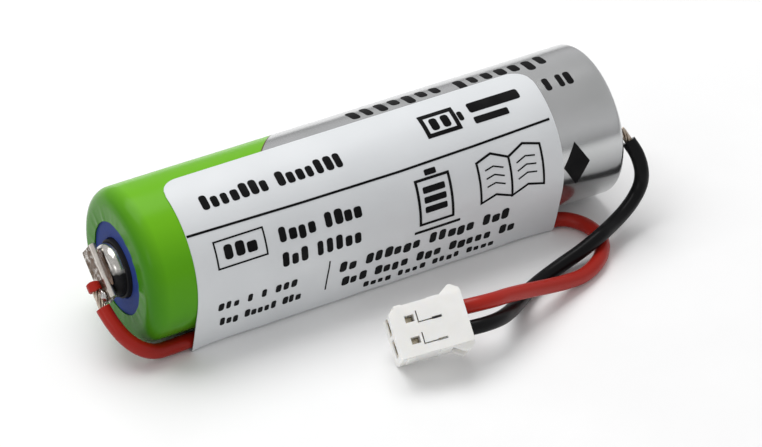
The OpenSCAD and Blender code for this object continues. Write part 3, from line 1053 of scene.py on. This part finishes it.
def slug_profile():
    """The bit of insulation left on the wire's tip, its end dished towards the lead."""
    return [
        (SLUG_START, 0.02), (SLUG_START + 0.02, SLUG_R - 0.07), (SLUG_START + 0.08, SLUG_R),
        (SLUG_END - 0.06, SLUG_R), (SLUG_END, SLUG_R - 0.05), (SLUG_END, 0.36), (SLUG_END - 0.08, 0.02),
    ]


def slug_wobble(x, r, a):
    middle = (SLUG_START + SLUG_END) / 2
    uneven = 0.05 * math.sin(a + 1) + 0.03 * math.sin(3 * a)
    return uneven * (1 if x > middle else -0.6), 0.02 * math.sin(2 * a)


SLUG_AT = BUTTON @ Matrix.Translation((0, WIRE_P, WIRE_H))
slug = turned(
    "red_slug_sleeve", ruled(slug_profile(), 0.15), SLUG_AT, RED_PVC, "red_pvc", 48, slug_wobble)
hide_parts("red_slug")

# ---- negative end ----
# Place of the negative tab: Y along it towards the black lead, X away from the cell
NEG_TAB_ANGLE = math.radians(163)
NEG = Matrix.Translation((X_NEG, 0, AXIS_Z)) @ Matrix.Rotation(NEG_TAB_ANGLE, 4, "X")
NEG_WELDS = [(along, across) for along in (-1, 0.1, 1.2) for across in (-0.55, 0.55)]


def neg_tab_slab():
    """Strip welded to the can in the sleeve's opening, stepping up over the sleeve's edge."""
    rows, columns = 90, 36
    back, out, half, corner = -2.0, 6.3, 1.5, 0.35
    upper, lower = [], []
    for i in range(rows):
        u = back + (out - back) * i / (rows - 1)
        tip = min(u - back, out - u, corner)
        pinch = corner - math.sqrt(max(corner ** 2 - (corner - tip) ** 2, 0))
        for j in range(columns):
            w = (half - pinch) * (2 * j / (columns - 1) - 1)
            p = NEG @ Vector((0, u, w))
            reach = math.hypot(p.y, p.z - AXIS_Z)
            inside = min(max((REAR_HOLE_R + 0.25 - reach) / 0.7, 0), 1)
            step = 0.5 + 0.5 * math.cos(math.pi * inside)
            sink = -SLEEVE_T * (1 - step) + 0.004
            dent = weld_dent(u, w, NEG_WELDS, 0.05)
            q = 0.012 * noise_at(u, w, 5)
            upper.append(NEG @ Vector((TAB_T + sink - dent + max(q, -0.01), u, w)))
            lower.append(NEG @ Vector((sink, u, w)))
    return shell(upper, lower, rows, columns)


neg_tab = crease(piece("negative_tab_strip", *neg_tab_slab(), FLUX_NICKEL, "nickel"), 50)
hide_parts("negative_tab")
NEG_SOLDER_AT = NEG @ Matrix.Translation((TAB_T, 5.4, 0)) @ Matrix.Rotation(math.radians(90), 4, "Y")
neg_solder = blob(
    "negative_solder_fillet", NEG_SOLDER_AT, (0.62, 0.8, 0.42), SOLDER, "solder", 8.0, 0.02)
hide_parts("negative_solder")


def black_wire_line():
    """From the solder to just inside the black lead, bowed slightly outwards."""
    strip, first = Vector(BLACK_STRIPPED), Vector(BLACK[0])
    middle = strip.lerp(first, 0.5) + Vector((0.03, 0, 0.05))
    return [strip + (strip - first) * 0.02, middle, first + (first - strip) * 0.08]


black_strands = bundle("black_strand_bundle", black_wire_line())
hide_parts("black_strands")

# ---- leads ----


def smooth_route(route, steps=7):
    """Catmull-Rom curve through the route's points."""
    pts = [Vector(p) for p in route]
    pts = [2 * pts[0] - pts[1]] + pts + [2 * pts[-1] - pts[-2]]
    out = []
    for k in range(1, len(pts) - 2):
        p0, p1, p2, p3 = pts[k - 1:k + 3]
        for i in range(steps):
            t = i / steps
            square = 2 * p0 - 5 * p1 + 4 * p2 - p3
            cube = 3 * p1 - p0 - 3 * p2 + p3
            out.append(0.5 * (2 * p1 + (p2 - p0) * t + square * t * t + cube * t ** 3))
    out.append(pts[-2])
    return out


def lead(name, route, material):
    """A round cord along its route; gives the object and its length in metres."""
    line = smooth_route(route)
    data = bpy.data.curves.new(name, "CURVE")
    data.dimensions = "3D"
    data.bevel_depth = LEAD_D / 2 * MM
    data.bevel_resolution = 7
    data.use_fill_caps = True
    spline = data.splines.new("POLY")
    spline.points.add(len(line) - 1)
    for p, v in zip(spline.points, line):
        p.co = (*(v * MM), 1)
    data.materials.append(material)
    obj = placed(name, data)
    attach(obj, "root")
    return obj, sum((b - a).length for a, b in zip(line, line[1:])) * MM


red_lead, red_length = lead("red_lead_insulation", RED, RED_PVC)
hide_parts("red_lead")
black_lead, black_length = lead("black_lead_insulation", BLACK, BLACK_PVC)
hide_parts("black_lead")

# ---- plug: X from its mating end at -PLUG_L to its leads at 0, Y across, Z through ----
PLUG_L, PLUG_W, PLUG_T, PITCH = 6.8, 4.7, 4.4, 2.0
HALF_W, HALF_T = PLUG_W / 2, PLUG_T / 2
CAVITY = 1.6
WINDOW_AT, WINDOW_L, WINDOW_W, WINDOW_FLOOR = 5.1, 0.85, 0.65, 0.2
SLIT_DEPTH = 0.7
OVERCUT = 1


def loose(verts, faces):
    """A bare solid in the plug's place, to be joined or cut away."""
    return placed("cutter", solid_mesh("cutter", [PLUG @ Vector(v) * MM for v in verts], faces))


def prism(outline, low, high):
    """Outline in (along, across), from low to high across the broad face."""
    n = len(outline)
    verts = [(x, y, low) for x, y in outline] + [(x, y, high) for x, y in outline]
    faces = [tuple(range(n))[::-1], tuple(range(n, 2 * n))]
    faces += [(i, (i + 1) % n, n + (i + 1) % n, n + i) for i in range(n)]
    return loose(verts, faces)


def block(x0, x1, y0, y1, z0, z1):
    return prism(rect(x0, y0, x1, y1), z0, z1)


def baked(obj):
    data = bpy.data.meshes.new_from_object(obj.evaluated_get(bpy.context.evaluated_depsgraph_get()))
    obj.modifiers.clear()
    obj.data = data


def join_solids(base, others, operation):
    """Joins the others to the base, or cuts them out of it."""
    for other in others:
        m = base.modifiers.new("cut", "BOOLEAN")
        m.operation = operation
        m.solver = "EXACT"
        m.object = other
    baked(base)
    for other in others:
        bpy.data.objects.remove(other)


def plug_body():
    """Box with a small and a large chamfer at its mating end."""
    return prism([
        (-PLUG_L, -HALF_W + 0.15), (-PLUG_L + 0.15, -HALF_W), (0, -HALF_W),
        (0, HALF_W), (-PLUG_L + 0.75, HALF_W), (-PLUG_L, HALF_W - 0.5),
    ], -HALF_T, HALF_T)


def plug_side(side):
    """The ear and the two low rails on one narrow side; they start inside the body."""
    root = side * (HALF_W - 0.2)
    outline = [(-2.3, root), (-0.95, side * 3.08), (-0.7, side * 3.06), (0, side * 2.6), (0, root)]
    parts = [prism(outline, -1.4, 1.8)]
    for start, end, out in ((-6.15, -5.5, 0.13), (-3.1, -2.0, 0.1)):
        near, far = sorted((root, side * (HALF_W + out)))
        parts.append(block(start, end, near, far, -1.0, 1.85))
    return parts


def plug_way(side):
    """What is cut out for one lead: cavity, window and the slits round the locking lance."""
    y = side * PITCH / 2
    half = CAVITY / 2
    floor, top = HALF_T - SLIT_DEPTH, HALF_T + OVERCUT
    return [
        block(-PLUG_L - OVERCUT, OVERCUT, y - half, y + half, -half, half),
        block(-WINDOW_AT - WINDOW_L / 2, -WINDOW_AT + WINDOW_L / 2,
              y - WINDOW_W / 2, y + WINDOW_W / 2, WINDOW_FLOOR, top),
        block(-4.46, -4.34, y - 0.56, y + 0.55, floor, top),
        block(-4.4, -3.1, y - 0.56, y - 0.44, floor, top),
        block(-3.15, -2.25, y - 0.6, y - 0.38, floor, top),
    ]


def plug_shell():
    """Body with ears and rails, cut out for both leads, with a recess in the near ear."""
    body = plug_body()
    join_solids(body, plug_side(-1) + plug_side(1), "UNION")
    recess = block(-1.9, -0.6, -3.3, -HALF_W + 0.7, -0.5, 1.25)
    join_solids(body, plug_way(-1) + plug_way(1) + [recess], "DIFFERENCE")
    edges = body.modifiers.new("edges", "BEVEL")
    edges.width = 0.06 * MM
    edges.segments = 2
    edges.limit_method = "ANGLE"
    edges.angle_limit = math.radians(40)
    baked(body)
    body.name = "plug_shell"
    body.data.materials.clear()
    body.data.materials.append(NYLON)
    flat_from = 0.3 * MM * MM
    for face in body.data.polygons:
        face.use_smooth = face.area < flat_from
    return crease(body, 30)


housing = plug_shell()
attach(housing, "root")
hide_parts("plug_housing")

# ---- CAD nodes that keep their shape ----
FINISHES = {
    "can": STEEL, "lithium_anode": LITHIUM, "separator_tube": SEPARATOR, "bottom_separator": SEPARATOR,
    "carbon_cathode": CARBON, "current_collector": STEEL, "top_separator": SEPARATOR, "header_cover": STEEL,
    "glass_seal": GLASS, "positive_pin": NICKEL, "red_contact": BRASS,
    "black_contact": BRASS, "red_crimped_strands": COPPER, "black_crimped_strands": COPPER,
}
for node, finish in FINISHES.items():
    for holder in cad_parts[node].material_slots:
        holder.material = finish

# ---- floor, light, camera ----
FLOOR_HALF_M = 2.0
AZIMUTH, ELEVATION = math.radians(-29.70), math.radians(35.0)
DISTANCE, LENS, SENSOR = 376.8, 193.6, 36
# The picture's centre: this far along the cell, and this far below its axis as the camera sees it
LOOK_X, LOOK_DROP = 3.23, 3.72


def floor_paper():
    m, t, b = mat("floor_paper")
    feed(b, "Base Color", two_tone(t, noise_of(t, 60.0, 3.0), grey(0.90), grey(0.93)))
    b.inputs["Roughness"].default_value = 0.85
    return m


def lay_floor():
    data = bpy.data.meshes.new("floor")
    corners = rect(-FLOOR_HALF_M, -FLOOR_HALF_M, FLOOR_HALF_M, FLOOR_HALF_M)
    data.from_pydata([(x, y, 0) for x, y in corners], [], [(0, 1, 2, 3)])
    data.materials.append(floor_paper())
    placed("floor", data)


def softbox(name, at, target, size, power):
    light = bpy.data.lights.new(name, "AREA")
    light.shape = "RECTANGLE"
    light.size, light.size_y = size[0] * MM, size[1] * MM
    light.energy = power
    obj = placed(name, light)
    obj.location = Vector(at) * MM
    obj.rotation_euler = (Vector(target) - Vector(at)).to_track_quat("-Z", "Y").to_euler()


def studio_sky():
    """Even light from all round, dimmer from below."""
    world = bpy.data.worlds.new("studio")
    world.use_nodes = True
    tree = world.node_tree
    towards = tree.nodes.new("ShaderNodeTexCoord")
    split = tree.nodes.new("ShaderNodeSeparateXYZ")
    tree.links.new(towards.outputs["Generated"], split.inputs["Vector"])
    glow = ramp(tree, split.outputs["Z"], [
        (0.0, (0.30, 0.30, 0.305)),
        (0.15, (0.52, 0.52, 0.525)),
        (0.35, (0.64, 0.64, 0.645)),
        (0.75, grey(0.52)),
    ])
    tree.links.new(glow, tree.nodes["Background"].inputs["Color"])
    bpy.context.scene.world = world


def photo_camera():
    level = math.cos(ELEVATION)
    back = Vector((
        math.sin(AZIMUTH) * level, -math.cos(AZIMUTH) * level, math.sin(ELEVATION)))
    right = Vector((0, 0, 1)).cross(back).normalized()
    up = back.cross(right)
    data = bpy.data.cameras.new("camera")
    data.lens = LENS
    data.sensor_width = SENSOR
    data.clip_start = 0.01
    obj = placed("camera", data)
    turn = Matrix((right, up, back)).transposed().to_4x4()
    centre = Vector((LOOK_X, 0, AXIS_Z)) - LOOK_DROP * up
    obj.matrix_world = Matrix.Translation((centre + back * DISTANCE) * MM) @ turn
    bpy.context.scene.camera = obj


lay_floor()
softbox("key", (-30, 110, 270), (0, 0, 5), (300, 200), 0.66)
softbox("front", (-300, -160, 130), (0, 0, 5), (90, 120), 0.08)
studio_sky()
photo_camera()
bpy.context.scene.view_settings.view_transform = "Standard"
